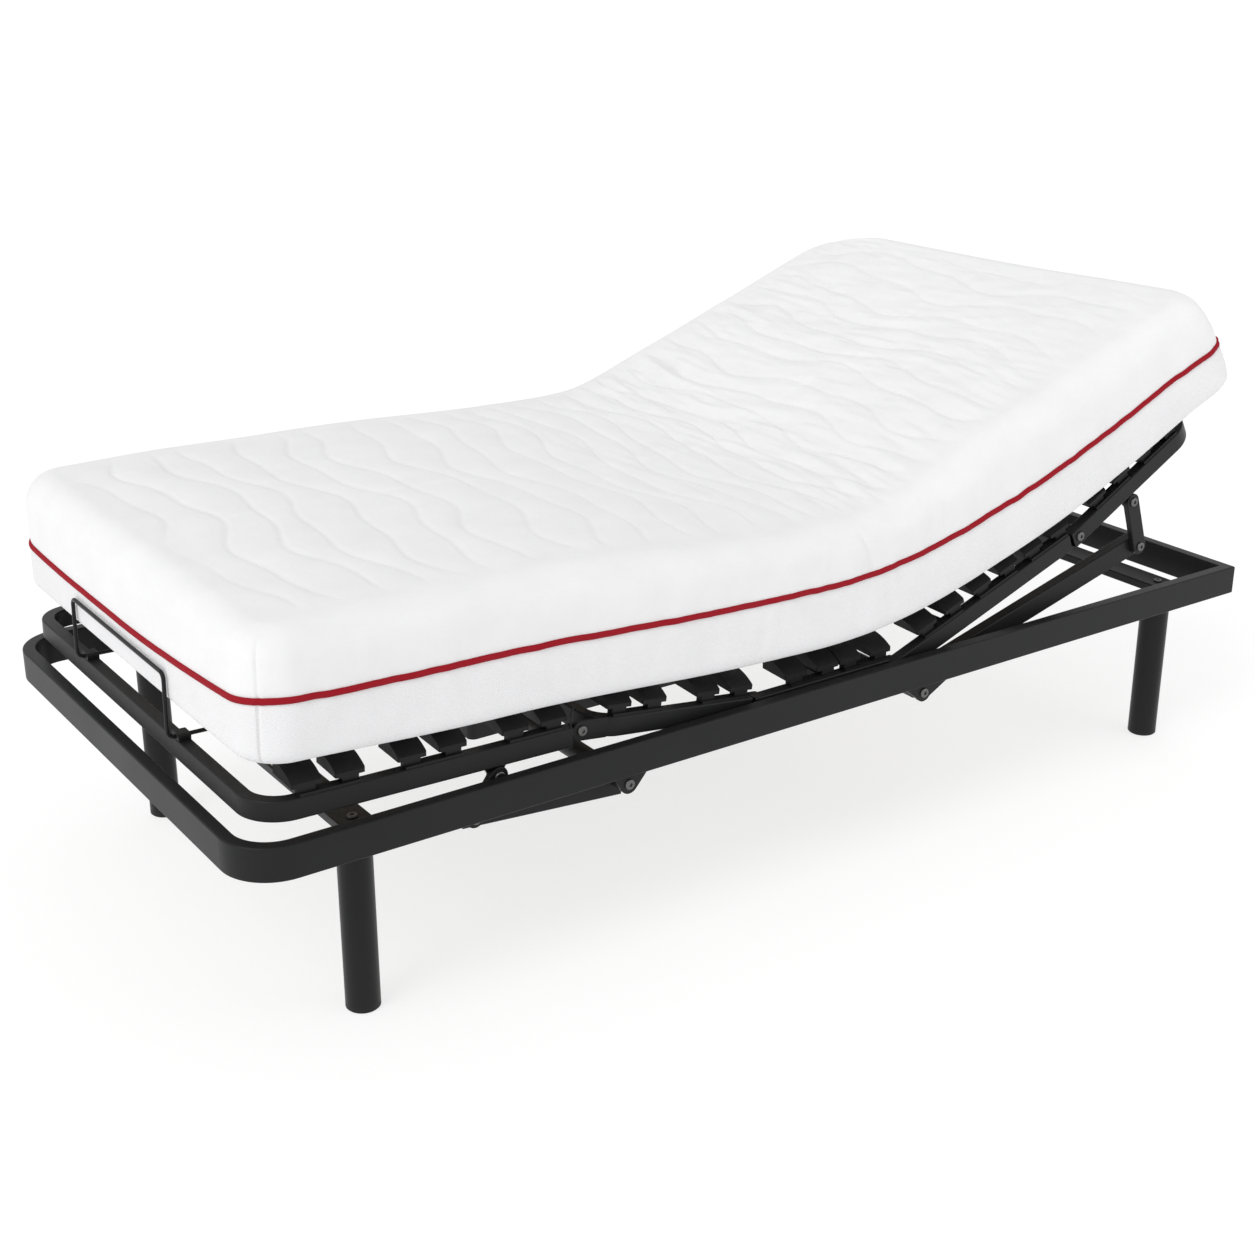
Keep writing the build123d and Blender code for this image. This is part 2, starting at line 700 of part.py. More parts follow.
def base_nodes():
    """The fixed frame, seat, legs and drive."""
    legs = leg_places()
    left_bolts = [pivot_bolt(HEAD_PIVOT), pivot_bolt(FOOT_PIVOT), hinge_bolt(SEAT_HINGE)]
    brackets = [pivot_bracket(HEAD_PIVOT, 37, 50), pivot_bracket(FOOT_PIVOT, 24, 31)]
    seat_cross = tube_across(SEAT_CROSS_X, TUBE_INNER, WIDTH - TUBE_INNER, HINGE_Z)
    return {
        "side_rails": both_sides(side_rail()),
        "foot_rail": foot_rail(),
        "head_rail": head_rail(),
        "crossbars": group(crossbar(x) for x in LEG_X.values()),
        "legs": group(leg_tube(x, y) for x, y in legs),
        "leg_glides": group(leg_glide(x, y) for x, y in legs),
        "pivot_brackets": both_sides(group(brackets)),
        "frame_bolts": group([both_sides(group(left_bolts))] + [leg_bolt(x, y) for x, y in legs]),
        "seat_tubes": both_sides(seat_tube()),
        "seat_cross_members": group([seat_cross, both_sides(group([seat_pads(), seat_ear()]))]),
        "drive_tray": drive_shell(DRIVE_BOTTOM, DRIVE_SPLIT, True) + cable_inlet(),
        "drive_lid": drive_shell(DRIVE_SPLIT, DRIVE_TOP, False),
        "drive_motors": group(motor(x) for x in MOTOR_X),
    }


def back_nodes():
    """The back section's own pieces."""
    tube = tube_along(-HINGE_LAP, BACK_LENGTH - HINGE_GAP, TUBE_Y, 0)
    tube = bored(tube, (0, 0), BOLT_RADIUS)
    ear = inner_ear((BACK_LENGTH - 60, 0), (BACK_LENGTH, 0))
    cross = [tube_across(x, TUBE_INNER, WIDTH - TUBE_INNER, 0) for x in BACK_CROSS_X]
    level = {
        "back_tubes": both_sides(tube),
        "back_cross_members": group(cross + [both_sides(ear)]),
        "back_hinge_bolts": both_sides(hinge_bolt((0, 0))),
    }
    return {node: in_section("back_section", shape) for node, shape in level.items()}


def neck_nodes():
    """The neck section's own pieces."""
    closed = NECK_LENGTH - TUBE_WIDTH / 2
    side = tube_along(-HINGE_LAP, closed - SECTION_CORNER_RADIUS, TUBE_Y, 0)
    level = {
        "neck_side_tubes": both_sides(bored(side, (0, 0), BOLT_RADIUS)),
        "neck_end_tube": end_tube(closed, SECTION_CORNER_RADIUS, 1),
        "neck_lugs": both_sides(lug(NECK_LUG, 22)),
        "neck_bolts": both_sides(group([hinge_bolt((0, 0)), lug_bolt(NECK_LUG)])),
    }
    return {node: in_section("neck_section", shape) for node, shape in level.items()}


def thigh_nodes():
    """The thigh section's own pieces."""
    closed = -THIGH_LENGTH + 14 + TUBE_WIDTH / 2
    knee = (-THIGH_LENGTH, 0)
    knee_ear = plate(strap(knee, (knee[0] + 44, 0), 15), KNEE_EAR_Y, KNEE_EAR_Y + EAR_THICKNESS)
    knee_ear = bored(knee_ear - solid_bend(closed, KNEE_CORNER_RADIUS), knee, BOLT_RADIUS)
    ears = group([inner_ear((-70, 0), (0, 0)), largest(knee_ear)])
    level = {
        "thigh_side_tubes": both_sides(tube_along(closed + KNEE_CORNER_RADIUS, -HINGE_GAP, TUBE_Y, 0)),
        "thigh_end_tube": end_tube(closed, KNEE_CORNER_RADIUS, -1),
        "thigh_ears": both_sides(ears),
        "knee_hinge_bolts": both_sides(cross_bolt(knee, KNEE_EAR_Y, 20)),
    }
    return {node: in_section("thigh_section", shape) for node, shape in level.items()}


def largest(shape):
    """The biggest solid of a cut shape."""
    return max(shape.solids(), key=lambda solid: solid.volume)


def solid_bend(closed_x, corner_radius):
    """The outer shape of a foot-end bend on the left, filled."""
    points = [(closed_x + 2 * corner_radius, TUBE_Y, 0), (closed_x, TUBE_Y, 0), (closed_x, 300, 0)]
    path = FilletPolyline(*points, radius=corner_radius - TUBE_WIDTH / 2)
    start = Plane(origin=points[0], x_dir=(0, 1, 0), z_dir=(-1, 0, 0))
    return sweep(start * Rectangle(TUBE_WIDTH, TUBE_HEIGHT + 10), path=path)


def leg_section_nodes():
    """The leg section's own pieces."""
    closed = -LEG_SECTION_LENGTH + TUBE_WIDTH / 2
    side = tube_along(closed + SECTION_CORNER_RADIUS, -KNEE_TUBE_GAP, TUBE_Y, 0)
    tongue_y = KNEE_EAR_Y + EAR_THICKNESS + EAR_GAP
    knee = (0, LEG_DROP)
    tongue = plate(strap((-40, 0), knee, 13), tongue_y, tongue_y + EAR_THICKNESS)
    tongue -= box(-60, -KNEE_TUBE_GAP, 20, 60, -20, 20)
    tongue = bored(tongue, knee, BOLT_RADIUS + RUNNING_GAP)
    level = {
        "leg_side_tubes": both_sides(side),
        "leg_end_tube": end_tube(closed, SECTION_CORNER_RADIUS, -1),
        "leg_plates": both_sides(group([tongue, lug(LEG_LUG, 20)])),
        "leg_link_bolts": both_sides(lug_bolt(LEG_LUG)),
        "retainer_wires": group([retainer_wire(), both_sides(side_stay())]),
        "retainer_clips": group(retainer_clip(y) for y in RETAINER_SPAN),
    }
    return {node: in_section("leg_section", shape) for node, shape in level.items()}


def lift_nodes():
    """The torque tubes, lift bars, levers, links and what drives them."""
    head_bar = lift_bar(HEAD_PIVOT, HEAD_BAR_ANGLE, 8, HEAD_BAR_LENGTH + 15, 0)
    foot_bar = lift_bar(FOOT_PIVOT, -FOOT_BAR_ANGLE, -251, 12, FOOT_BAR_DROP)
    return {
        "head_torque_tube": torque_tube(HEAD_PIVOT) + lever_pair(HEAD_PIVOT, -11),
        "head_lift_bars": both_sides(largest(head_bar)),
        "foot_torque_tube": torque_tube(FOOT_PIVOT) + lever_pair(FOOT_PIVOT, 11.4),
        "foot_lift_bars": both_sides(largest(foot_bar)),
        "neck_links": both_sides(swing_link(NECK_LINK_TOP, NECK_LINK_LOW)),
        "neck_link_end_bolts": both_sides(link_end_bolt(NECK_LINK_LOW)),
        "foot_links": both_sides(swing_link(LEG_LINK_TOP, LEG_LINK_LOW)),
        "foot_link_end_bolts": both_sides(link_end_bolt(LEG_LINK_LOW)),
        "head_thrust_block": thrust_block(1100.5, 1136.5),
        "foot_thrust_block": thrust_block(613.5, 649.5),
        "head_spindle": spindle(966.5, 1190),
        "foot_spindle": spindle(560, 783.5),
    }


def main():
    """Write every node."""
    os.makedirs("parts", exist_ok=True)
    nodes = {}
    for make in (base_nodes, back_nodes, neck_nodes, thigh_nodes, leg_section_nodes, lift_nodes):
        nodes.update(make())
    holder = slat_holder()
    for section in HOLDERS:
        short = section.replace("_section", "")
        nodes[f"slat_holders_{short}"] = section_holders(section, holder)
        nodes[f"slats_{short}"] = section_slats(section)
    nodes.update(mattress_pieces())
    for node, shape in nodes.items():
        write_part(node, shape)
    print(len(nodes), "nodes written")


if __name__ == "__main__":
    main()
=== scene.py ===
import json
import math
from types import SimpleNamespace

import bpy
import numpy as np
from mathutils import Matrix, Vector


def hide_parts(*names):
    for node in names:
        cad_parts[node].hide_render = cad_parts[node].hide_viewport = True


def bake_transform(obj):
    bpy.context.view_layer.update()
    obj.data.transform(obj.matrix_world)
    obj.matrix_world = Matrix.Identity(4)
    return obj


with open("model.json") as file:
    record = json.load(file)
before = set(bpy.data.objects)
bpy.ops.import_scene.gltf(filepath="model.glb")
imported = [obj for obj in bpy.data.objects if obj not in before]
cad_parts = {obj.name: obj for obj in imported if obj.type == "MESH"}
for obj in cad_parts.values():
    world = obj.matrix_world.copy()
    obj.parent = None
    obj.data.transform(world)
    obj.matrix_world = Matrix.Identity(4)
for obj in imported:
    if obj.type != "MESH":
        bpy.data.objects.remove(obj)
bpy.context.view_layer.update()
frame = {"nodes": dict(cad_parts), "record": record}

# Metres throughout, in the CAD's frame: +X to the head end, +Y to the sleeper's right, +Z up.
JOINTS = {joint["name"]: joint for joint in frame["record"]["behaviour"]["joints"]}


def hinge_point(name):
    """The (x, z) of a joint in the frame."""
    x, _, z = JOINTS[name]["pos_m"]
    return np.array([x, z])


KNEE = hinge_point("knee_bend")
THIGH_HINGE = hinge_point("thigh_lift")
BACK_HINGE = hinge_point("back_lift")
NECK_HINGE = hinge_point("neck_tilt")
LEG_ANGLE = math.radians(-1.4)
NECK_ANGLE = math.radians(29.1)

# Mattress: distances s along the hinge line from its foot end, and heights above that line
LEG_LENGTH = 0.500
NECK_LENGTH = 0.392
HALF_WIDTH = 0.436
NOMINAL = (0.050, 0.145, 0.245)  # underside, piping and top of the flat mattress
CORNER_RADIUS = 0.065
TOP_RADIUS = 0.042
BOTTOM_RADIUS = 0.020
FOAM_FLOOR = 0.0530  # the underside stays above the slats' caps
CELLS = (0.0040, 0.0065, 0.0065)
CROWN = 0.007
UPPER_SWELL = 0.0045
LOWER_SWELL = 0.0030
PIPING_PULL = 0.0030
CORNER_SEAM = 0.0016
TUCK_S, TUCK_SLANT, TUCK_DEPTH = 1.005, 0.36, 0.0030  # one tuck in the -Y border over the back hinge
FOOT_DROP_SIDE, FOOT_DROP_MIDDLE = 0.016, 0.012  # the piping's droop across the foot end
HEAD_SKEW = 0.011
HEAD_LEAN = (0.016, 0.030)  # at the -Y side and at the +Y side

# Quilting and creases
QUILT_START, QUILT_END = 0.075, 0.070
QUILT_PITCH, QUILT_SPREAD = 0.052, 0.022
QUILT_WAVES = ((0.019, 0.46), (0.0075, 0.205))  # swing and length of each wave across the bed
QUILT_GROOVES = ((0.0027, 0.0042), (0.0020, 0.020))  # depth and half-width: stitched line, soft valley
CREASE_DEPTH = 0.0042
PEBBLE_DEPTH = 0.0015

# Piping
PIPING_OUT = 0.0034
PIPING_UP = 0.0048
PIPING_STAND = 0.0022
PIPING_SIDES = 12
PIPING_SIDE_WIDTH = 0.0021


# ---------------------------------------------------------------- materials

def new_material(name):
    """An empty node material and its shader."""
    material = bpy.data.materials.new(name)
    material.use_nodes = True
    nodes = material.node_tree.nodes
    nodes.clear()
    output = nodes.new("ShaderNodeOutputMaterial")
    shader = nodes.new("ShaderNodeBsdfPrincipled")
    material.node_tree.links.new(shader.outputs["BSDF"], output.inputs["Surface"])
    return material, shader


def add_node(material, kind, **inputs):
    """A node with its inputs set from values or from other nodes' outputs."""
    node = material.node_tree.nodes.new(kind)
    for key, value in inputs.items():
        socket = node.inputs[key.replace("_", " ")]
        if isinstance(value, bpy.types.NodeSocket):
            material.node_tree.links.new(value, socket)
        else:
            socket.default_value = value
    return node


def place_vector(material, source, scale):
    """Texture coordinates stretched by a scale in each direction."""
    coordinates = material.node_tree.nodes.new("ShaderNodeTexCoord")
    mapping = add_node(material, "ShaderNodeMapping", Vector=coordinates.outputs[source])
    mapping.inputs["Scale"].default_value = scale
    return mapping.outputs["Vector"]


def noise_value(material, vector, scale, detail=3.0, roughness=0.5):
    """A noise pattern's value."""
    node = add_node(material, "ShaderNodeTexNoise", Vector=vector, Scale=scale, Detail=detail)
    node.inputs["Roughness"].default_value = roughness
    return node.outputs["Fac"]


def math_value(material, operation, first, second=0.5):
    """The result of one sum."""
    node = material.node_tree.nodes.new("ShaderNodeMath")
    node.operation = operation
    for socket, value in zip(node.inputs, (first, second)):
        if isinstance(value, bpy.types.NodeSocket):
            material.node_tree.links.new(value, socket)
        else:
            socket.default_value = value
    return node.outputs[0]


def ramp_colour(material, factor, stops):
    """A colour between stops of (position, rgb)."""
    node = add_node(material, "ShaderNodeValToRGB", Fac=factor)
    elements = node.color_ramp.elements
    while len(elements) < len(stops):
        elements.new(0.5)
    for element, (position, rgb) in zip(elements, stops):
        element.position = position
        element.color = (*rgb, 1.0)
    return node.outputs["Color"]


def ramp_value(material, factor, low, high, start=0.3, end=0.7):
    """A number between low and high as factor goes from start to end."""
    node = add_node(material, "ShaderNodeMapRange", Value=factor)
    for key, value in (("From Min", start), ("From Max", end), ("To Min", low), ("To Max", high)):
        node.inputs[key].default_value = value
    return node.outputs["Result"]


def link(material, output, shader, name):
    """One pattern wired into the shader."""
    material.node_tree.links.new(output, shader.inputs[name])


def add_bump(material, shader, height, strength, distance):
    """Small relief on the surface."""
    node = add_node(material, "ShaderNodeBump", Height=height)
    node.inputs["Strength"].default_value = strength
    node.inputs["Distance"].default_value = distance
    link(material, node.outputs["Normal"], shader, "Normal")


def powder_coat(name, shade, roughness):
    """Satin powder-coated steel: fine orange peel and a slight drift in gloss."""
    material, shader = new_material(name)
    vector = place_vector(material, "Object", (1, 1, 1))
    broad = noise_value(material, vector, 5.0, 4.0)
    fine = noise_value(material, vector, 1100.0, 2.0, 0.6)
    dark = tuple(channel * 0.86 for channel in shade)
    light = tuple(channel * 1.16 for channel in shade)
    colour = ramp_colour(material, broad, [(0.3, dark), (0.7, light)])
    link(material, colour, shader, "Base Color")
    mottle = math_value(material, "ADD", broad, fine)
    gloss = ramp_value(material, mottle, roughness - 0.05, roughness + 0.06, 0.7, 1.3)
    link(material, gloss, shader, "Roughness")
    shader.inputs["Specular IOR Level"].default_value = 0.20
    add_bump(material, shader, fine, 0.22, 0.0003)
    return material


def moulded(name, shade, roughness, grain, strength):
    """Moulded plastic or rubber with a spark-eroded grain."""
    material, shader = new_material(name)
    vector = place_vector(material, "Object", (1, 1, 1))
    cells = add_node(material, "ShaderNodeTexVoronoi", Vector=vector, Scale=grain)
    broad = noise_value(material, vector, 30.0, 5.0)
    dark = tuple(channel * 0.8 for channel in shade)
    light = tuple(channel * 1.35 for channel in shade)
    link(material, ramp_colour(material, broad, [(0.35, dark), (0.7, light)]), shader, "Base Color")
    link(material, ramp_value(material, broad, roughness - 0.06, roughness + 0.08), shader, "Roughness")
    shader.inputs["Specular IOR Level"].default_value = 0.26
    add_bump(material, shader, cells.outputs["Distance"], strength, 0.0004)
    return material


def plated(name, shade, roughness):
    """Zinc-plated or drawn steel with fine scratches."""
    material, shader = new_material(name)
    vector = place_vector(material, "Object", (60, 60, 600))
    scratches = noise_value(material, vector, 12.0, 6.0, 0.65)
    dark = tuple(channel * 0.82 for channel in shade)
    link(material, ramp_colour(material, scratches, [(0.3, dark), (0.65, shade)]), shader, "Base Color")
    link(material, ramp_value(material, scratches, roughness - 0.08, roughness + 0.12), shader, "Roughness")
    shader.inputs["Metallic"].default_value = 1.0
    add_bump(material, shader, scratches, 0.12, 0.0002)
    return material


def beech(name):
    """Steamed beech plywood with short flecks along the slat."""
    material, shader = new_material(name)
    vector = place_vector(material, "Object", (60, 2.2, 60))
    grain = noise_value(material, vector, 3.0, 8.0, 0.62)
    flecks = noise_value(material, place_vector(material, "Object", (420, 26, 420)), 1.0, 2.0)
    mix = math_value(material, "ADD", grain, math_value(material, "MULTIPLY", flecks, 0.35))
    stops = [(0.38, (0.38, 0.28, 0.19)), (0.62, (0.52, 0.41, 0.30)), (0.9, (0.62, 0.52, 0.40))]
    link(material, ramp_colour(material, mix, stops), shader, "Base Color")
    link(material, ramp_value(material, grain, 0.38, 0.52), shader, "Roughness")
    add_bump(material, shader, mix, 0.2, 0.0004)
    return material


def knit(name, shade, pitch_u, pitch_v, strength, cell_scale, wrinkles=0.0, sheen=0.12):
    """Knitted mattress ticking: rows of stitches, soft dimples and a slight sheen."""
    material, shader = new_material(name)
    coordinates = material.node_tree.nodes.new("ShaderNodeTexCoord")
    parts = add_node(material, "ShaderNodeSeparateXYZ", Vector=coordinates.outputs["UV"])
    waves = []
    for axis, pitch in (("X", pitch_u), ("Y", pitch_v)):
        turns = math_value(material, "MULTIPLY", parts.outputs[axis], 2 * math.pi / pitch)
        waves.append(math_value(material, "SINE", turns))
    stitch = math_value(material, "MULTIPLY", *waves)
    dimple = add_node(material, "ShaderNodeTexVoronoi", Vector=coordinates.outputs["UV"], Scale=cell_scale)
    dimple.feature = "SMOOTH_F1"
    soft = noise_value(material, coordinates.outputs["UV"], 14.0, 5.0)
    height = dimple.outputs["Distance"]
    for pattern, share in ((stitch, 0.35), (soft, 0.8)):
        height = math_value(material, "ADD", height, math_value(material, "MULTIPLY", pattern, share))
    stretched = add_node(material, "ShaderNodeMapping", Vector=coordinates.outputs["UV"])
    stretched.inputs["Scale"].default_value = (1, 0.4, 1)
    crushed = noise_value(material, stretched.outputs["Vector"], 62.0, 5.0, 0.6)
    height = math_value(material, "ADD", height, math_value(material, "MULTIPLY", crushed, wrinkles))
    dark = tuple(channel * 0.965 for channel in shade)
    link(material, ramp_colour(material, soft, [(0.3, dark), (0.7, shade)]), shader, "Base Color")
    link(material, ramp_value(material, soft, 0.78, 0.92), shader, "Roughness")
    shader.inputs["Sheen Weight"].default_value = sheen
    shader.inputs["Sheen Roughness"].default_value = 0.5
    shader.inputs["Specular IOR Level"].default_value = 0.3
    add_bump(material, shader, height, strength, 0.0012)
    return material


FINISHES = {
    "frame_steel": powder_coat("powder_coat_anthracite", (0.0100, 0.0102, 0.0107), 0.40),
    "leg_steel": powder_coat("powder_coat_leg", (0.0088, 0.0089, 0.0094), 0.38),
    "zinc_bolts": plated("zinc_plate", (0.15, 0.15, 0.148), 0.36),
    "bright_steel": plated("drawn_steel", (0.5, 0.5, 0.5), 0.3),
    "retainer_wire": powder_coat("lacquered_wire", (0.0100, 0.0100, 0.0105), 0.32),
    "slat_holder_rubber": moulded("holder_rubber", (0.0042, 0.0042, 0.0045), 0.5, 1500.0, 0.12),
    "beech_slats": beech("beech_ply"),
    "black_plastic": moulded("glide_plastic", (0.0080, 0.0080, 0.0080), 0.5, 2200.0, 0.18),
    "drive_plastic": moulded("drive_case_plastic", (0.0120, 0.0120, 0.0130), 0.52, 900.0, 0.3),
}
TICKING = knit("knitted_ticking", (0.84, 0.84, 0.845), 0.0017, 0.0026, 0.35, 130.0, 1.6)
SPACER = knit("spacer_mesh", (0.80, 0.80, 0.81), 0.0036, 0.0036, 0.5, 300.0, 0.8)
PIPING = knit("red_piping", (0.30, 0.001, 0.010), 0.0016, 0.0016, 0.3, 500.0, sheen=0.0)

for row in frame["record"]["subparts"]:
    finish = FINISHES.get(row["material_slot"])
    if finish is None:
        continue
    node = frame["nodes"][row["node"]]
    if not node.material_slots:
        node.data.materials.append(finish)
    for material_slot in node.material_slots:
        material_slot.material = finish


# ---------------------------------------------------------------- mattress shape

def smooth(value):
    """Smoothstep from 0 to 1."""
    value = np.clip(value, 0.0, 1.0)
    return value * value * (3 - 2 * value)


def soft_noise(x, y, seed):
    """Smooth noise from -1 to 1 at unit spacing, the same on every run."""
    table = np.random.RandomState(seed).uniform(-1, 1, (64, 64))
    column = np.floor(x).astype(int)
    line = np.floor(y).astype(int)
    fx = smooth(x - column)
    fy = smooth(y - line)
    def corner(i, j):
        return table[(column + i) % 64, (line + j) % 64]
    low = corner(0, 0) * (1 - fx) + corner(1, 0) * fx
    high = corner(0, 1) * (1 - fx) + corner(1, 1) * fx
    return low * (1 - fy) + high * fy


def angle_between(start, end):
    """The slope of the hinge line between two hinges."""
    return math.atan2(end[1] - start[1], end[0] - start[0])


HINGES = [KNEE, THIGH_HINGE, BACK_HINGE, NECK_HINGE]
SPANS = [float(np.linalg.norm(b - a)) for a, b in zip(HINGES, HINGES[1:])]
HINGE_S = np.cumsum([LEG_LENGTH] + SPANS)
LENGTH = HINGE_S[-1] + NECK_LENGTH
ANGLES = [LEG_ANGLE] + [angle_between(a, b) for a, b in zip(HINGES, HINGES[1:])] + [NECK_ANGLE]
BEND_HALF = (0.15, 0.16, 0.22, 0.19)


def slope_at(s):
    """The mattress line's angle: each hinge's change of angle is spread over a soft bend."""
    angle = np.full_like(s, ANGLES[0])
    for hinge_s, half, before, after in zip(HINGE_S, BEND_HALF, ANGLES, ANGLES[1:]):
        angle += (after - before) * smooth((s - hinge_s + half) / (2 * half))
    return angle


def hinge_line():
    """Closely spaced points of the mattress line with the angle at each."""
    s = np.linspace(-0.05, LENGTH + 0.05, 4001)
    angle = slope_at(s)
    step = s[1] - s[0]
    x = np.concatenate([[0], np.cumsum(np.cos((angle[1:] + angle[:-1]) / 2) * step)])
    z = np.concatenate([[0], np.cumsum(np.sin((angle[1:] + angle[:-1]) / 2) * step)])
    middle = (HINGE_S[1] + HINGE_S[2]) / 2
    anchor = (THIGH_HINGE + BACK_HINGE) / 2
    x += anchor[0] - np.interp(middle, s, x)
    z += anchor[1] - np.interp(middle, s, z)
    return s, x, z, angle


LINE = hinge_line()


def bend_in_place(s, y, height):
    """Flat mattress coordinates carried onto the sections."""
    line_s, line_x, line_z, line_angle = LINE
    angle = np.interp(s, line_s, line_angle)
    x = np.interp(s, line_s, line_x) - np.sin(angle) * height
    z = np.interp(s, line_s, line_z) + np.cos(angle) * height
    return np.stack([x, y, z], axis=-1)


# The lines that shape the mattress, as heights above the hinge line at a distance s from its foot end
UNDERSIDE_LEVEL = 0.052
PIPING_LEVEL = 0.149
TOP_LEVEL = 0.245
UNDERSIDE_CHANGES = (0.010, 0.015, 0.023)  # up at the foot end, up over the seat, down at the head end
PIPING_CHANGES = (0.006, 0.021, 0.050)  # the same three
TOP_CHANGES = (0.003, 0.021, 0.053)  # up over the legs, up at the neck fold, down at the head end
SWELL_CHANGES = (0.004, 0.031, 0.012)  # up at the foot end, up over the folds, down past the back hinge
SWELL_NEAR = 0.35  # the -Y edge's part of the swell

# Where each change starts, and the length it takes
SEAT_RISE, SEAT_FALL = (0.48, 0.42), (1.05, 0.45)
UNDERSIDE_FOOT, UNDERSIDE_HEAD = (0.0, 0.36), (1.35, 0.60)
PIPING_FOOT, PIPING_HEAD = (0.0, 0.15), (1.40, 0.75)
LEG_CROWN_RISE, LEG_CROWN_FALL = (0.0, 0.25), (0.55, 0.45)
TOP_NECK, TOP_HEAD = (1.03, 0.40), (1.42, 0.62)
SWELL_FOOT, SWELL_FOLDS, SWELL_BACK = (0.0, 0.25), (0.35, 0.60), (1.18, 0.25)


def ramp(s, stretch):
    """0 before the stretch, 1 past it, and a smooth rise along it."""
    start, length = stretch
    return smooth((s - start) / length)


def seat_hump(s):
    """1 over the seat, where the mattress bridges the folds at its ends, and 0 away from it."""
    return ramp(s, SEAT_RISE) - ramp(s, SEAT_FALL)


def underside_height(s):
    """The underside: a little higher at the foot end and over the seat, and low at the head end."""
    foot, seat, head = UNDERSIDE_CHANGES
    raised = UNDERSIDE_LEVEL + foot * (1 - ramp(s, UNDERSIDE_FOOT)) + seat * seat_hump(s)
    return raised - head * ramp(s, UNDERSIDE_HEAD)


def piping_height(s):
    """The piping: it turns up at the foot corners, rises over the seat and falls to the head end."""
    foot, seat, head = PIPING_CHANGES
    raised = PIPING_LEVEL + foot * (1 - ramp(s, PIPING_FOOT)) + seat * seat_hump(s)
    return raised - head * ramp(s, PIPING_HEAD)


def top_height(s):
    """The top before it swells: thicker at the neck fold, and thinner towards the head end."""
    legs, neck, head = TOP_CHANGES
    leg_crown = ramp(s, LEG_CROWN_RISE) - ramp(s, LEG_CROWN_FALL)
    return TOP_LEVEL + legs * leg_crown + neck * ramp(s, TOP_NECK) - head * ramp(s, TOP_HEAD)


def top_swell(s):
    """How far the top swells up at its +Y edge, most of it where the mattress is bent."""
    foot, folds, back = SWELL_CHANGES
    return foot * ramp(s, SWELL_FOOT) + folds * ramp(s, SWELL_FOLDS) - back * ramp(s, SWELL_BACK)


def bell(distance, width):
    """A smooth bump, 1 at its middle."""
    return np.exp(-((distance / width) ** 2))


def portion(height, start, end):
    """How far a height is from start to end, from 0 to 1."""
    return np.clip((height - start) / (end - start), 0, 1)


def quilt_depth(s, y, fade):
    """The sewn waves across the top and the padding that swells between them."""
    depth = np.zeros_like(s)
    line, index = QUILT_START, 0
    while line < LENGTH - QUILT_END:
        phases = (0.42 * index + 0.5 * math.sin(1.7 * index), 1.9 * index)
        distance = s - line
        for (swing, length), phase in zip(QUILT_WAVES, phases):
            distance = distance - swing * np.sin(2 * math.pi * y / length + phase)
        for groove, width in QUILT_GROOVES:
            depth += groove * bell(distance, width)
        line += QUILT_PITCH + QUILT_SPREAD * (0.5 + 0.5 * math.sin(2.3 * index))
        index += 1
    return depth * fade * (1 - 0.20 * smooth((s - 1.2) / 0.35))


def crease_height(s, y):
    """Shallow creases where the top is pressed together over the hinges, and crumpled knit on the back."""
    creases = soft_noise(s * 34 + 2.2 * np.sin(y * 7.5), y * 3.3 + 5, 11)
    creases += 0.6 * soft_noise(s * 61 + 1.4 * np.sin(y * 11), y * 6.1, 23)
    seat = 0.3 * bell(s - HINGE_S[1], 0.10)
    back = bell(s - HINGE_S[2] - 0.06, 0.17)
    neck = 0.45 * bell(s - HINGE_S[3] - 0.02, 0.14)
    pebbles = soft_noise(s * 85 + 1.2 * np.sin(y * 9), y * 26, 41) * smooth((s - 0.85) / 0.3)
    return CREASE_DEPTH * creases * (seat + back + neck) + PEBBLE_DEPTH * pebbles


def lattice():
    """Surface points of a box lattice with the quads between them."""
    sizes = (LENGTH, 2 * HALF_WIDTH, NOMINAL[2] - NOMINAL[0])
    ni, nj, nk = (int(round(size / cell)) for size, cell in zip(sizes, CELLS))
    nk += nk % 2
    index = np.full((ni + 1, nj + 1, nk + 1), -1)
    shell = np.zeros_like(index, bool)
    shell[[0, -1]] = shell[:, [0, -1]] = shell[:, :, [0, -1]] = True
    index[shell] = np.arange(shell.sum())
    sides = (
        (index[:, :, 0], True), (index[:, :, -1], False), (index[:, 0, :], False),
        (index[:, -1, :], True), (index[0], True), (index[-1], False),
    )
    quads = []
    for side, flip in sides:
        corners = (side[:-1, :-1], side[1:, :-1], side[1:, 1:], side[:-1, 1:])
        quad = np.stack(corners, axis=-1).reshape(-1, 4)
        quads.append(quad[:, ::-1] if flip else quad)
    return (ni, nj, nk), index, np.argwhere(shell), np.concatenate(quads)


def rounded(u, v):
    """Square corner distances turned into a round corner."""
    both = (u > 0) & (v > 0)
    length = np.where(both, np.hypot(u, v), 1.0)
    scale = np.where(both, np.maximum(u, v) / length, 1.0)
    return u * scale, v * scale


def past_rectangle(s, y):
    """The inner rectangle's nearest point, the reach past it and the direction outwards."""
    inner_s = np.clip(s, CORNER_RADIUS, LENGTH - CORNER_RADIUS)
    inner_y = np.clip(y, CORNER_RADIUS - HALF_WIDTH, HALF_WIDTH - CORNER_RADIUS)
    ds, dy = s - inner_s, y - inner_y
    length = np.maximum(np.hypot(ds, dy), 1e-9)
    return inner_s, inner_y, np.maximum(np.abs(ds), np.abs(dy)), ds / length, dy / length


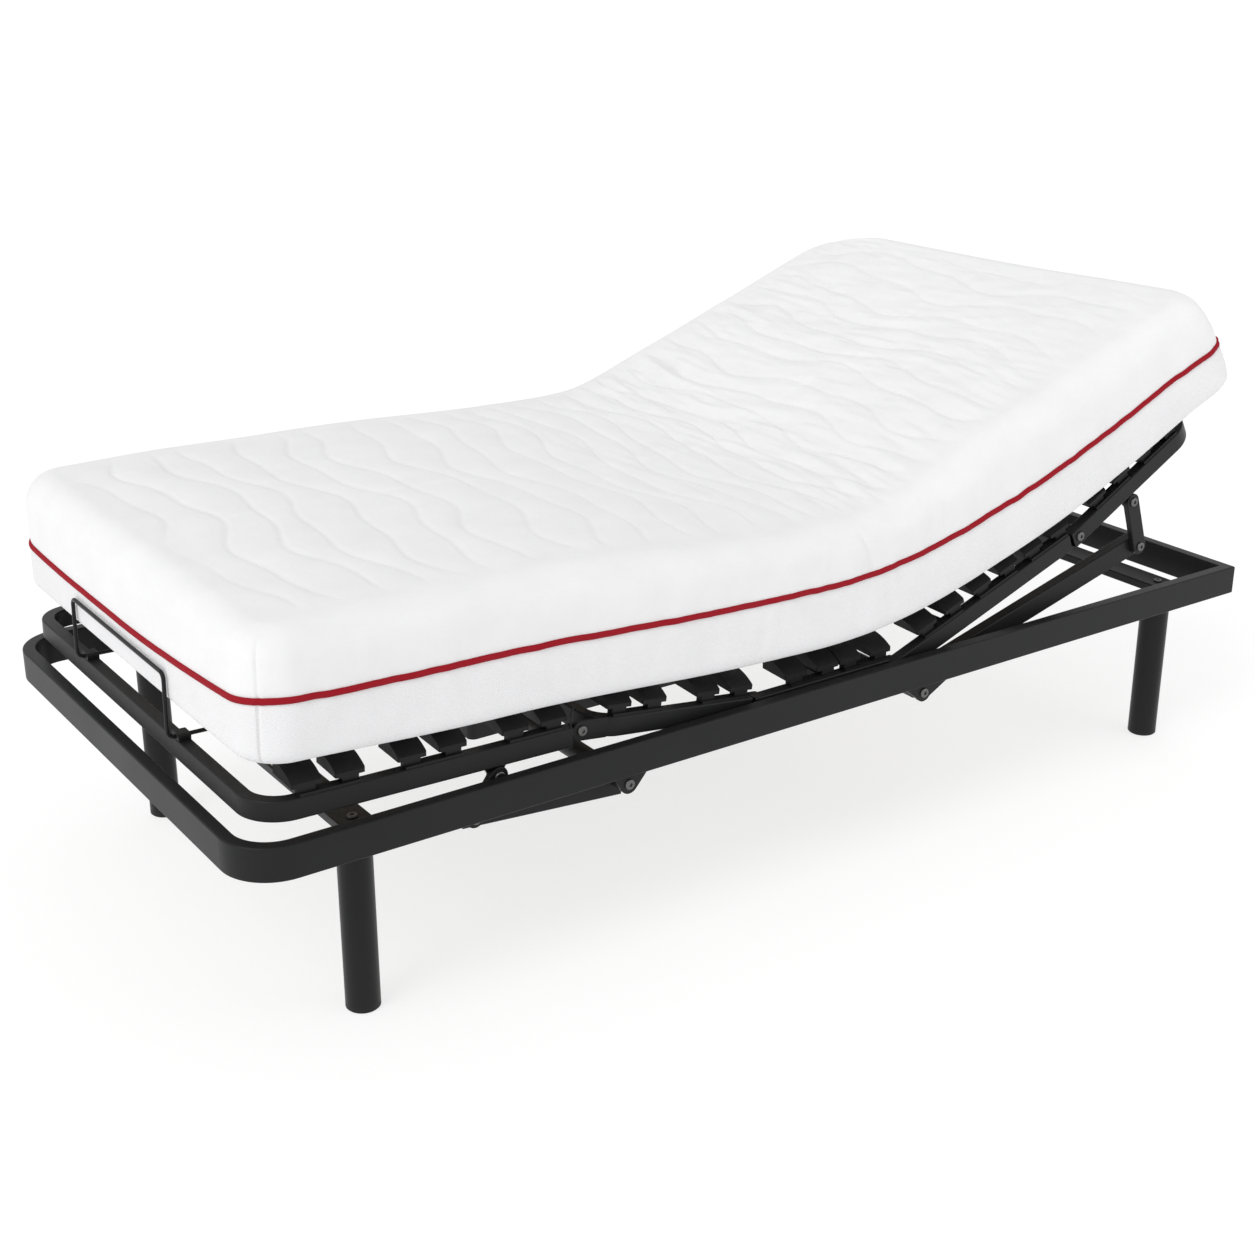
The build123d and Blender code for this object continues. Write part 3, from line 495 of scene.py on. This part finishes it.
def round_edges(s, across, reach, height):
    """Round edges along the top and the underside; the top's are fuller at the head's +Y corner."""
    low, _, high = NOMINAL
    head = smooth((s - LENGTH + 0.25) / 0.25)
    radius = TOP_RADIUS + head * (0.018 * across - 0.012 * (1 - across))
    u, v = rounded(reach - (CORNER_RADIUS - radius), height - (high - radius))
    reach, height = u + CORNER_RADIUS - radius, v + high - radius
    u, v = rounded(reach - (CORNER_RADIUS - BOTTOM_RADIUS), low + BOTTOM_RADIUS - height)
    return u + CORNER_RADIUS - BOTTOM_RADIUS, low + BOTTOM_RADIUS - v


def border_relief(s, y, reach, height, out_s, out_y):
    """The borders swell between their seams, ripple, and pull in at the piping and the corner seams."""
    low, middle, high = NOMINAL
    edge = smooth((reach - CORNER_RADIUS + 0.012) / 0.012)
    swell = UPPER_SWELL * np.sin(math.pi * portion(height, middle, high))
    swell += LOWER_SWELL * np.sin(math.pi * portion(height, middle, low))
    pulled = PIPING_PULL * bell(height - middle, 0.006)
    pulled += CORNER_SEAM * bell(np.abs(out_s) - np.abs(out_y), 0.06)
    around = s + np.abs(y)
    ripple = 0.0011 * soft_noise(around * 21, height * 12 + 3, 5)
    ripple += 0.0007 * soft_noise(around * 55, height * 20, 9)
    ripple += 0.0014 * soft_noise(around * 46, height * 9, 31) * bell(height - middle, 0.026)
    tuck_line = TUCK_S + TUCK_SLANT * (high - height)
    ripple -= TUCK_DEPTH * bell(s - tuck_line, 0.006) * (y < 0) * (height > middle + 0.01)
    at_foot = smooth((0.05 - s) / 0.04)
    return edge * ((swell + ripple - 0.0015) * (1 - 0.85 * at_foot) - pulled)


def top_relief(s, y):
    """The top's slight crown with its sewn waves and creases."""
    inner = np.minimum(np.minimum(s, LENGTH - s), HALF_WIDTH - np.abs(y))
    fade = smooth((inner - 0.035) / 0.075)
    relief = CROWN * smooth(inner / 0.20) - quilt_depth(s, y, fade)
    relief += crease_height(s, y) * smooth((inner - 0.01) / 0.09)
    return relief + 0.0013 * soft_noise(s * 9, y * 9, 17) * fade


def shape_head(s, y, across, place_s, place_y, height):
    """The head end: corners that stand out below and are soft above, a slight skew and a leaning face."""
    _, middle, high = NOMINAL
    upper = portion(height, middle, high)
    corner = smooth((s - LENGTH + 0.12) / 0.10) * smooth((np.abs(y) - HALF_WIDTH + 0.09) / 0.08) * (1 - upper)
    soft_corner = smooth((s - LENGTH + 0.16) / 0.16) * smooth((y - HALF_WIDTH + 0.16) / 0.16) * upper
    place_s = place_s + 0.012 * corner - 0.030 * soft_corner
    place_y = place_y + 0.009 * corner * np.sign(y) - 0.022 * soft_corner
    height = height - 0.012 * soft_corner
    place_s = place_s - HEAD_SKEW * y / HALF_WIDTH * smooth((s - 1.1) / 0.7)
    lean = np.clip((height - middle) / (high - middle), 0, 1.1) ** 1.6
    lean_length = HEAD_LEAN[0] * (1 - across) + HEAD_LEAN[1] * across
    place_s = place_s - lean_length * lean * smooth((s - LENGTH + 0.12) / 0.12)
    return place_s, place_y, height


def above_line(s, y, height):
    """A height in the flat mattress carried to its place above the hinge line."""
    low, middle, high = NOMINAL
    rim = np.maximum(smooth((np.abs(y) - HALF_WIDTH + 0.024) / 0.012), smooth((s - LENGTH + 0.105) / 0.02))
    underside = underside_height(s)
    underside = np.maximum(underside, FOAM_FLOOR) * (1 - rim) + underside * rim

    width_ratio = np.clip(y / HALF_WIDTH, -1, 1)
    foot_drop = FOOT_DROP_SIDE * smooth(width_ratio + 1) + FOOT_DROP_MIDDLE * (1 - np.abs(width_ratio) ** 5)
    piping = piping_height(s) - foot_drop * smooth((0.10 - s) / 0.09)

    fuller = SWELL_NEAR + (1 - SWELL_NEAR) * smooth((y + 0.15) / 0.5)
    top = top_height(s) + top_swell(s) * fuller
    return np.where(
        height <= middle,
        underside + (piping - underside) * (height - low) / (middle - low),
        piping + (top - piping) * (height - middle) / (high - middle),
    )


def point_normals(points, quads):
    """Smooth normals at the points."""
    normals = np.zeros_like(points)
    corners = points[quads]
    face = np.cross(corners[:, 2] - corners[:, 0], corners[:, 3] - corners[:, 1])
    for corner in range(4):
        np.add.at(normals, quads[:, corner], face)
    return normals / np.maximum(np.linalg.norm(normals, axis=1, keepdims=True), 1e-12)


def mattress_surface():
    """The whole mattress as one surface, with the directions that its piping needs."""
    (ni, nj, nk), index, where, quads = lattice()
    i, j, k = where.T
    s = i / ni * LENGTH
    y = (j / nj * 2 - 1) * HALF_WIDTH
    half = nk // 2
    height = np.interp(k, (0, half, nk), NOMINAL)
    across = smooth(0.5 + 0.5 * y / HALF_WIDTH)

    inner_s, inner_y, reach, out_s, out_y = past_rectangle(s, y)
    reach, height = round_edges(s, across, reach, height)
    reach = reach + border_relief(s, y, reach, height, out_s, out_y)
    height = height + np.where(k == nk, top_relief(s, y), 0.0)
    place_s, place_y = inner_s + out_s * reach, inner_y + out_y * reach
    place_s, place_y, height = shape_head(s, y, across, place_s, place_y, height)
    points = bend_in_place(place_s, place_y, above_line(place_s, place_y, height))

    angle = np.interp(place_s, LINE[0], LINE[3])
    on_end = np.abs(out_s) > np.abs(out_y)
    drop = NOMINAL[2] - height
    texture_s = place_s + np.where(s < LENGTH / 2, -1, 1) * on_end * drop
    texture_y = place_y + np.sign(y) * drop * ~on_end
    return SimpleNamespace(
        columns=ni, rows=nj, half=half, index=index, where=where, quads=quads, points=points,
        normals=point_normals(points, quads), uv=np.stack([texture_s, texture_y], axis=-1),
        outward=np.stack([out_s * np.cos(angle), out_y, out_s * np.sin(angle)], axis=-1),
        upward=np.stack([-np.sin(angle), np.zeros_like(angle), np.cos(angle)], axis=-1),
    )


def piping_rings(surface):
    """Rings of the red piping, one at each rim point, in order round the mattress."""
    ni, nj = surface.columns, surface.rows
    rim = [(i, 0) for i in range(ni)] + [(ni, j) for j in range(nj)]
    rim += [(i, nj) for i in range(ni, 0, -1)] + [(0, j) for j in range(nj, 0, -1)]
    ids = np.array([surface.index[i, j, surface.half] for i, j in rim])
    centres = surface.points[ids]
    outward, upward = surface.outward[ids][:, None], surface.upward[ids][:, None]
    turns = np.linspace(0, 2 * math.pi, PIPING_SIDES + 1)[:-1]
    cosine, sine = np.cos(turns)[None, :, None], np.sin(turns)[None, :, None]
    points = centres[:, None] + outward * (cosine * PIPING_OUT + PIPING_STAND) + upward * sine * PIPING_UP
    normals = outward * cosine * PIPING_UP + upward * sine * PIPING_OUT
    normals /= np.linalg.norm(normals, axis=-1, keepdims=True)
    steps = np.linalg.norm(np.diff(centres, axis=0, append=centres[:1]), axis=1)
    return SimpleNamespace(
        points=points, normals=normals, columns=np.array([i for i, _ in rim]),
        along=np.concatenate([[0], np.cumsum(steps)[:-1]]),
    )


def mesh_object(name, points, quads, normals, uv, slots, materials):
    """A smooth mesh object from arrays."""
    mesh = bpy.data.meshes.new(name)
    mesh.from_pydata(points.tolist(), [], quads.tolist())
    for material in materials:
        mesh.materials.append(material)
    mesh.polygons.foreach_set("use_smooth", np.ones(len(quads), bool))
    mesh.polygons.foreach_set("material_index", slots.astype(np.int32))
    layer = mesh.uv_layers.new(name="UVMap")
    loops = np.zeros(len(mesh.loops), np.int32)
    mesh.loops.foreach_get("vertex_index", loops)
    layer.data.foreach_set("uv", uv[loops].astype(np.float32).ravel())
    mesh.update()
    mesh.normals_split_custom_set_from_vertices(normals.tolist())
    made = bpy.data.objects.new(name, mesh)
    bpy.context.collection.objects.link(made)
    return made


def piping_quads(rings, first, last):
    """The quads of the piping tube between two lattice columns."""
    count, sides = rings.points.shape[:2]
    here = np.arange(count)
    there = np.roll(here, -1)
    both = np.stack([rings.columns, rings.columns[there]])
    kept = (both.min(axis=0) >= first) & (both.max(axis=0) <= last)
    here, there = here[kept][:, None] * sides, there[kept][:, None] * sides
    turn = np.arange(sides)[None, :]
    next_turn = np.roll(turn, -1)
    return np.stack([here + turn, there + turn, there + next_turn, here + next_turn], axis=-1).reshape(-1, 4)


def cut_piece(name, surface, rings, first, last):
    """One length of the mattress with its piping, between two lattice columns."""
    column = surface.where[:, 0][surface.quads]
    quads = surface.quads[(column.min(axis=1) >= first) & (column.max(axis=1) <= last)]
    lower = surface.where[quads][:, :, 2].max(axis=1) <= surface.half
    used, faces = np.unique(quads, return_inverse=True)
    tube = piping_quads(rings, first, last)
    ring_used, ring_faces = np.unique(tube, return_inverse=True)

    count, sides = rings.points.shape[:2]
    round_tube = np.tile(np.arange(sides) * PIPING_SIDE_WIDTH, count)
    ring_uv = np.stack([np.repeat(rings.along, sides), round_tube], axis=-1)
    return mesh_object(
        name,
        np.concatenate([surface.points[used], rings.points.reshape(-1, 3)[ring_used]]),
        np.concatenate([faces.reshape(-1, 4), ring_faces.reshape(-1, 4) + len(used)]),
        np.concatenate([surface.normals[used], rings.normals.reshape(-1, 3)[ring_used]]),
        np.concatenate([surface.uv[used], ring_uv[ring_used]]),
        np.concatenate([lower.astype(int), np.full(len(tube), 2)]),
        [TICKING, SPACER, PIPING],
    )


surface = mattress_surface()
rings = piping_rings(surface)
middles = (HINGE_S[:-1] + HINGE_S[1:]) / 2
cuts = [0] + [int(round(middle / LENGTH * surface.columns)) for middle in middles] + [surface.columns]

# Name, body towards the foot, body towards the head, the bend's reach either way, CAD nodes it replaces
PIECES = [
    ("mattress_cover_leg", "leg_section", "thigh_section", (0.09, 0.09),
     ["mattress_leg", "mattress_fold_knee"]),
    ("mattress_cover_thigh", "thigh_section", "base", (0.12, 0.11),
     ["mattress_thigh", "mattress_folds_seat"]),
    ("mattress_cover_seat", "base", "back_section", (0.085, 0.155),
     ["mattress_seat", "mattress_back"]),
    ("mattress_cover_neck", "back_section", "neck_section", (0.15, 0.16),
     ["mattress_neck", "mattress_fold_neck"]),
]
for number, (name, foot_body, head_body, reach, nodes) in enumerate(PIECES):
    piece = cut_piece(name, surface, rings, cuts[number], cuts[number + 1])
    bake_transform(piece)
    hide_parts(*nodes)


# ---------------------------------------------------------------- floor, light and camera

FLOOR_HALF_SIZE = 300.0
FLOOR_GAP = 0.0005
FLOOR_GLOW = 0.72
WORLD_LIGHT = 0.78
SUN_SOFTNESS = 0.45
CAMERA_PLACE = (-1.7465, -2.4369, 1.4661)
CAMERA_TILT, CAMERA_TURN = math.radians(68.45), math.radians(-34.79)
CAMERA_LENS, CAMERA_SENSOR = 54.36, 36.0  # millimetres


def studio_floor():
    """A plain pale floor."""
    material, shader = new_material("pale_floor")
    vector = place_vector(material, "Object", (1, 1, 1))
    drift = noise_value(material, vector, 1.2, 3.0)
    colour = ramp_colour(material, drift, [(0.3, (0.30, 0.30, 0.30)), (0.7, (0.31, 0.31, 0.31))])
    link(material, colour, shader, "Base Color")
    shader.inputs["Emission Color"].default_value = (1.0, 1.0, 1.0, 1.0)
    shader.inputs["Emission Strength"].default_value = FLOOR_GLOW
    link(material, ramp_value(material, drift, 0.85, 0.95), shader, "Roughness")
    shader.inputs["Specular IOR Level"].default_value = 0.1
    half = FLOOR_HALF_SIZE
    corners = [(-half, -half, 0), (half, -half, 0), (half, half, 0), (-half, half, 0)]
    mesh = bpy.data.meshes.new("studio_floor")
    mesh.from_pydata(corners, [], [(0, 1, 2, 3)])
    mesh.materials.append(material)
    floor = bpy.data.objects.new("studio_floor", mesh)
    floor.location.z = -FLOOR_GAP
    bpy.context.collection.objects.link(floor)


def area_light(name, place, target, size, power):
    """A soft rectangular light aimed at a point."""
    data = bpy.data.lights.new(name, "AREA")
    data.shape = "RECTANGLE"
    data.size, data.size_y = size
    data.energy = power
    lamp = bpy.data.objects.new(name, data)
    lamp.location = place
    lamp.rotation_euler = (Vector(target) - Vector(place)).to_track_quat("-Z", "Y").to_euler()
    bpy.context.collection.objects.link(lamp)


def sun_light(name, direction, strength):
    """A broad, soft light from one direction."""
    data = bpy.data.lights.new(name, "SUN")
    data.energy = strength
    data.angle = SUN_SOFTNESS
    lamp = bpy.data.objects.new(name, data)
    lamp.rotation_euler = Vector(direction).to_track_quat("Z", "Y").to_euler()
    bpy.context.collection.objects.link(lamp)


def studio_world(strength):
    """Even white light from all round."""
    world = bpy.data.worlds.new("studio_world")
    world.use_nodes = True
    background = world.node_tree.nodes["Background"]
    background.inputs["Color"].default_value = (1.0, 1.0, 1.0, 1.0)
    background.inputs["Strength"].default_value = strength
    bpy.context.scene.world = world


def studio_camera():
    """The camera at the photograph's viewing angle."""
    data = bpy.data.cameras.new("camera")
    data.lens = CAMERA_LENS
    data.sensor_width = CAMERA_SENSOR
    data.clip_end = 1000.0
    camera = bpy.data.objects.new("camera", data)
    camera.location = CAMERA_PLACE
    camera.rotation_euler = (CAMERA_TILT, 0.0, CAMERA_TURN)
    bpy.context.collection.objects.link(camera)
    bpy.context.scene.camera = camera


studio_floor()
studio_world(WORLD_LIGHT)
sun_light("key", (-0.80, -0.25, 0.90), 0.95)
area_light("foot", (-4.2, -0.6, 1.2), (-0.9, 0.0, 0.4), (2.4, 1.6), 14.0)
area_light("side", (2.6, -3.4, 1.4), (0.7, -0.4, 0.6), (2.4, 1.8), 22.0)
studio_camera()
bpy.context.scene.view_settings.view_transform = "Standard"
